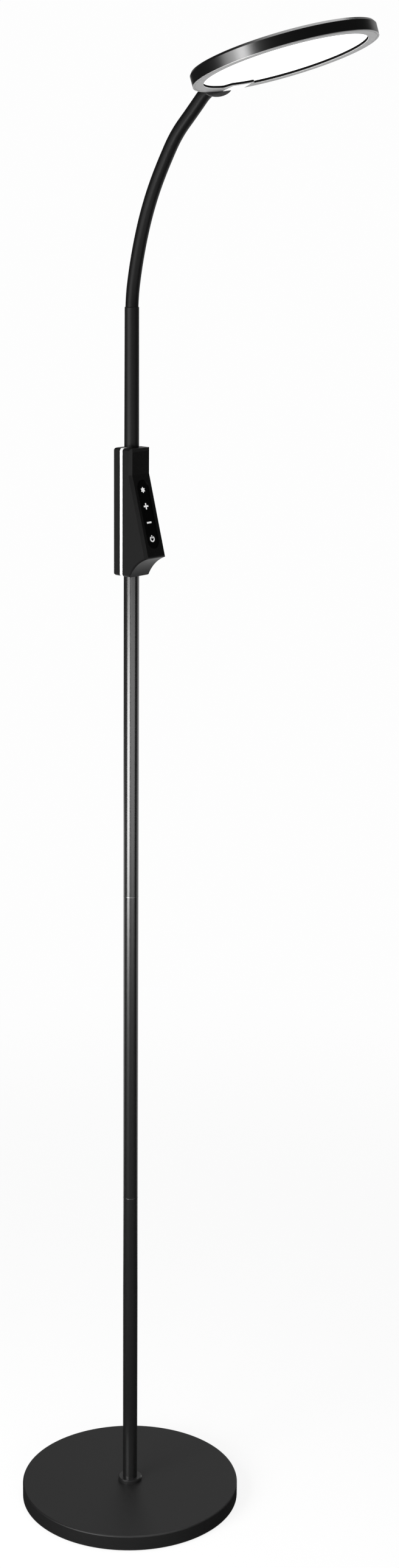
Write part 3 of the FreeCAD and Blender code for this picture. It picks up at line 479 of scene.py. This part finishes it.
def key_symbols():
    """The four symbols, from the top: light colour, brighter, dimmer and power."""
    icon("icon_star", [star_outline(ICON_SIZE)], 0)
    icon("icon_plus", [plus_outline(ICON_SIZE, ICON_STROKE)], 1)
    icon("icon_minus", [bar_outline(ICON_SIZE, ICON_STROKE)], 2)
    thin = ICON_STROKE * POWER_STROKE_SHARE
    ring = arc_outline(ICON_SIZE / 2, ICON_SIZE / 2 - thin,
                       POWER_RING_START_DEGREES, POWER_RING_END_DEGREES)
    bar = bar_outline(thin * POWER_STEM_WIDTH_SHARE, ICON_SIZE * POWER_STEM_LENGTH_SHARE)
    stem = [(x, y + ICON_SIZE * POWER_STEM_RISE_SHARE) for x, y in bar]
    icon("icon_power", [ring, stem], 3)


def key_inlay():
    """Glossy black inlay on the floor of the keys' pocket, with round ends."""
    radius = KEY_POCKET_WIDTH / 2 - INLAY_MARGIN
    length = (KEY_COUNT - 1) * KEY_PITCH + 2 * KEY_POCKET_OVERRUN
    points = []
    for start, drop in ((0.0, 0.0), (math.pi, length)):
        for i in range(INLAY_END_STEPS + 1):
            angle = start + math.pi * i / INLAY_END_STEPS
            points.append((radius * math.cos(angle), radius * math.sin(angle) - drop))
    mesh = bmesh.new()
    place = face_place(FIRST_KEY - KEY_POCKET_OVERRUN, KEY_POCKET_DEPTH)
    plate(mesh, points, INLAY_THICKNESS, place)
    bmesh.ops.recalc_face_normals(mesh, faces=mesh.faces)
    inlay = new_object("key_inlay", mesh, KEY_BLACK)
    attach(inlay, "root")


# ---------------------------------------------------------------- stage
def level_directions():
    """The camera's right and forward directions, level with the floor."""
    heading = CAMERA_LEAN - CAMERA_YAW
    return (Vector((math.cos(heading), math.sin(heading), 0)),
            Vector((-math.sin(heading), math.cos(heading), 0)))


def view_place(right, forward, height):
    """A place given from the pole: to the camera's right, away from the camera, and its height."""
    level, forwards = level_directions()
    return level * right + forwards * forward + Vector((0, 0, height))


def camera_axes():
    """Right, up and back directions of the camera."""
    level, forwards = level_directions()
    sight = forwards * math.cos(CAMERA_PITCH) - Vector((0, 0, math.sin(CAMERA_PITCH)))
    rise = forwards * math.sin(CAMERA_PITCH) + Vector((0, 0, math.cos(CAMERA_PITCH)))
    right = level * math.cos(CAMERA_ROLL) + rise * math.sin(CAMERA_ROLL)
    up = rise * math.cos(CAMERA_ROLL) - level * math.sin(CAMERA_ROLL)
    return right, up, -sight


def camera():
    """The photograph's camera."""
    data = bpy.data.cameras.new("camera")
    data.lens = CAMERA_LENS
    data.sensor_width = CAMERA_SENSOR
    data.clip_end = CAMERA_REACH
    obj = bpy.data.objects.new("camera", data)
    bpy.context.scene.collection.objects.link(obj)
    right, up, back = camera_axes()
    place = Matrix((right, up, back)).transposed().to_4x4()
    place.translation = Vector((CAMERA_DISTANCE * math.sin(CAMERA_LEAN),
                                -CAMERA_DISTANCE * math.cos(CAMERA_LEAN), CAMERA_HEIGHT))
    obj.matrix_world = place
    bpy.context.scene.camera = obj


def seen_or_other(tree, seen, other):
    """Mixes two shaders: one that is seen, directly or in metal and glass, and one for other light."""
    path = tree.nodes.new("ShaderNodeLightPath")
    total = path.outputs["Is Camera Ray"]
    for name in ("Is Glossy Ray", "Is Transmission Ray"):
        either = tree.nodes.new("ShaderNodeMath")
        either.operation = "MAXIMUM"
        tree.links.new(total, either.inputs[0])
        tree.links.new(path.outputs[name], either.inputs[1])
        total = either.outputs["Value"]
    mix = tree.nodes.new("ShaderNodeMixShader")
    tree.links.new(total, mix.inputs["Fac"])
    tree.links.new(other, mix.inputs[1])
    tree.links.new(seen, mix.inputs[2])
    return mix.outputs["Shader"]


def world():
    """A white backdrop and a soft even light for the lamp."""
    sky = bpy.data.worlds.new("studio")
    sky.use_nodes = True
    tree = sky.node_tree
    tree.nodes.clear()
    seen = tree.nodes.new("ShaderNodeBackground")
    seen.inputs["Color"].default_value = (*grey(BACKDROP_TONE), 1.0)
    other = tree.nodes.new("ShaderNodeBackground")
    other.inputs["Color"].default_value = (*grey(SKY_LIGHT_TONE), 1.0)
    other.inputs["Strength"].default_value = SKY_LIGHT_STRENGTH
    output = tree.nodes.new("ShaderNodeOutputWorld")
    mixed = seen_or_other(tree, seen.outputs["Background"], other.outputs["Background"])
    tree.links.new(mixed, output.inputs["Surface"])
    bpy.context.scene.world = sky


def floor():
    """A wide white floor that blends into the backdrop and keeps the lamp's shadow near the base."""
    mesh = bmesh.new()
    bmesh.ops.create_grid(mesh, x_segments=1, y_segments=1, size=FLOOR_SIZE)
    material, tree, bsdf = shader("floor")
    bsdf.inputs["Base Color"].default_value = (*grey(FLOOR_TONE), 1.0)
    bsdf.inputs["Roughness"].default_value = FLOOR_ROUGHNESS
    bsdf.inputs["Specular IOR Level"].default_value = 0.0
    paper = tree.nodes.new("ShaderNodeBsdfDiffuse")
    paper.inputs["Color"].default_value = (*grey(FLOOR_SHADOW_TONE), 1.0)
    glow = tree.nodes.new("ShaderNodeEmission")
    glow.inputs["Strength"].default_value = FLOOR_GLOW
    near = tree.nodes.new("ShaderNodeAddShader")
    tree.links.new(paper.outputs["BSDF"], near.inputs[0])
    tree.links.new(glow.outputs["Emission"], near.inputs[1])
    far = tree.nodes.new("ShaderNodeEmission")
    far.inputs["Strength"].default_value = BACKDROP_TONE
    place = tree.nodes.new("ShaderNodeNewGeometry")
    distance = tree.nodes.new("ShaderNodeVectorMath")
    distance.operation = "LENGTH"
    reach = tree.nodes.new("ShaderNodeMapRange")
    reach.interpolation_type = "SMOOTHSTEP"
    reach.inputs["From Min"].default_value = FLOOR_FADE_START
    reach.inputs["From Max"].default_value = FLOOR_FADE_END
    fade = tree.nodes.new("ShaderNodeMixShader")
    tree.links.new(place.outputs["Position"], distance.inputs[0])
    tree.links.new(distance.outputs["Value"], reach.inputs["Value"])
    tree.links.new(reach.outputs["Result"], fade.inputs["Fac"])
    tree.links.new(near.outputs["Shader"], fade.inputs[1])
    tree.links.new(far.outputs["Emission"], fade.inputs[2])
    mixed = seen_or_other(tree, fade.outputs["Shader"], bsdf.outputs["BSDF"])
    tree.links.new(mixed, tree.nodes["Material Output"].inputs["Surface"])
    obj = new_object("floor", mesh, material)


def softbox(name, place, target, width, height, power):
    """A rectangular area light aimed at a point."""
    data = bpy.data.lights.new(name, "AREA")
    data.shape = "RECTANGLE"
    data.size = width
    data.size_y = height
    data.energy = power
    obj = bpy.data.objects.new(name, data)
    bpy.context.scene.collection.objects.link(obj)
    obj.location = place
    obj.rotation_euler = (Vector(place) - Vector(target)).to_track_quat("Z", "Y").to_euler()


def lights():
    """Soft studio lights: four at the left, a low one at the right and one above."""
    for name, (degrees, distance, middle, width, height, power) in SOFTBOXES.items():
        angle = math.radians(degrees)
        place = view_place(distance * math.sin(angle), -distance * math.cos(angle), middle)
        softbox(name, place, (0, 0, middle), width, height, power)
    softbox("top softbox", view_place(*TOP_SOFTBOX_PLACE), TOP_SOFTBOX_TARGET,
            TOP_SOFTBOX_SIZE, TOP_SOFTBOX_SIZE, TOP_SOFTBOX_POWER)


def card(name, corners, tone):
    """A card out of the picture that only shows in the lamp's glossy surfaces."""
    material, tree, _ = shader(name)
    glow = tree.nodes.new("ShaderNodeEmission")
    glow.inputs["Strength"].default_value = tone
    tree.links.new(glow.outputs["Emission"], tree.nodes["Material Output"].inputs["Surface"])
    mesh = bmesh.new()
    mesh.faces.new([mesh.verts.new(corner) for corner in corners])
    obj = new_object(name, mesh, material)
    obj.visible_camera = False
    obj.visible_diffuse = False
    obj.visible_shadow = False
    obj.visible_transmission = False


def side_card(name, first, last, distance, low, high, tone):
    """An upright card between two directions in degrees, counted from the camera's, left negative."""
    ends = []
    for degrees in (first, last):
        angle = math.radians(degrees)
        ends.append((distance * math.sin(angle), -distance * math.cos(angle)))
    start, end = ends
    corners = [view_place(*start, low), view_place(*end, low),
               view_place(*end, high), view_place(*start, high)]
    card(name, corners, tone)


def cards():
    """Dark cards all round, above and on the floor, and a pale one behind the camera."""
    for i, start in enumerate(CARD_STARTS):
        low = RAISED_CARD_FOOT if start >= RAISED_CARDS_FROM else 0.0
        tone = REAR_CARD_TONE if start in REAR_CARD_STARTS else DARK_TONE
        side_card(f"dark card {i}", start, start + CARD_SPAN, CARD_DISTANCE, low, CARD_TOP, tone)
    side_card("pale card", *PALE_CARD)
    for name, (height, end) in FLAT_CARDS.items():
        corners = [view_place(-FLAT_CARD_REACH, -FLAT_CARD_REACH, height),
                   view_place(FLAT_CARD_REACH, -FLAT_CARD_REACH, height),
                   view_place(FLAT_CARD_REACH, end, height),
                   view_place(-FLAT_CARD_REACH, end, height)]
        card(name, corners, DARK_TONE)


dress_nodes()
neck_skin()
key_inlay()
key_symbols()
world()
floor()
lights()
cards()
camera()

bpy.context.scene.view_settings.view_transform = "Standard"
